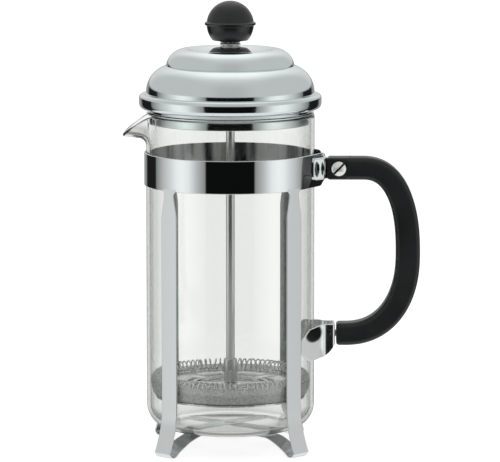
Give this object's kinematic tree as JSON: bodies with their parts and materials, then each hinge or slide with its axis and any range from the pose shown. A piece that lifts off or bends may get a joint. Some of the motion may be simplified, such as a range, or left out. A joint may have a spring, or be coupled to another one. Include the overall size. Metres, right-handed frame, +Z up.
{
  "type": "french press",
  "caption": "Cylindrical glass coffee press in a chromed clamp frame with four legs, a domed lid, a ball-topped plunger with a wire-edged filter, and a black D handle.",
  "frame": {"origin": "on the table, under the middle of the whole object's box; the jug's own axis is at x = -0.02345", "axes": "+Z up along the jug's axis, +X towards the handle, -X towards the pouring lip"},
  "size_m": [0.1693, 0.1038, 0.2558],
  "materials": {
    "glass": "clear polished borosilicate",
    "chrome": "mirror chrome plate",
    "steel": "bright stainless steel",
    "mesh": "fine woven stainless wire",
    "black": "soft-touch, slightly satin",
    "brass": "machined"
  },
  "bodies": {
    "carafe": {"glass_beaker": "glass", "frame_band": "chrome", "clamp_ear_front": "chrome", "clamp_ear_back": "chrome", "leg_strip_a": "chrome", "leg_strip_b": "chrome", "base_rivet": "steel", "handle": "black", "handle_clamp_screw": "steel", "handle_clamp_nut": "steel", "handle_saddle": "chrome", "saddle_screw": "steel"},
    "lid": {"lid_dome": "chrome", "lid_skirt": "chrome", "lid_grommet": "black", "rod_bushing": "steel", "bushing_nut": "steel"},
    "plunger": {"knob": "black", "knob_insert": "brass", "plunger_rod": "steel", "rod_collar": "steel", "spiral_plate": "steel", "edge_coil": "steel", "mesh_screen": "mesh", "cross_plate": "steel", "filter_nut": "steel"}
  },
  "joints": [
    {"name": "lid_lift", "type": "slide", "parent": "carafe", "child": "lid", "axis": [0, 0, 1], "range_m": [0, 0.17]},
    {"name": "plunger_slide", "type": "slide", "parent": "lid", "child": "plunger", "axis": [0, 0, 1], "range_m": [0, 0.135]}
  ]
}
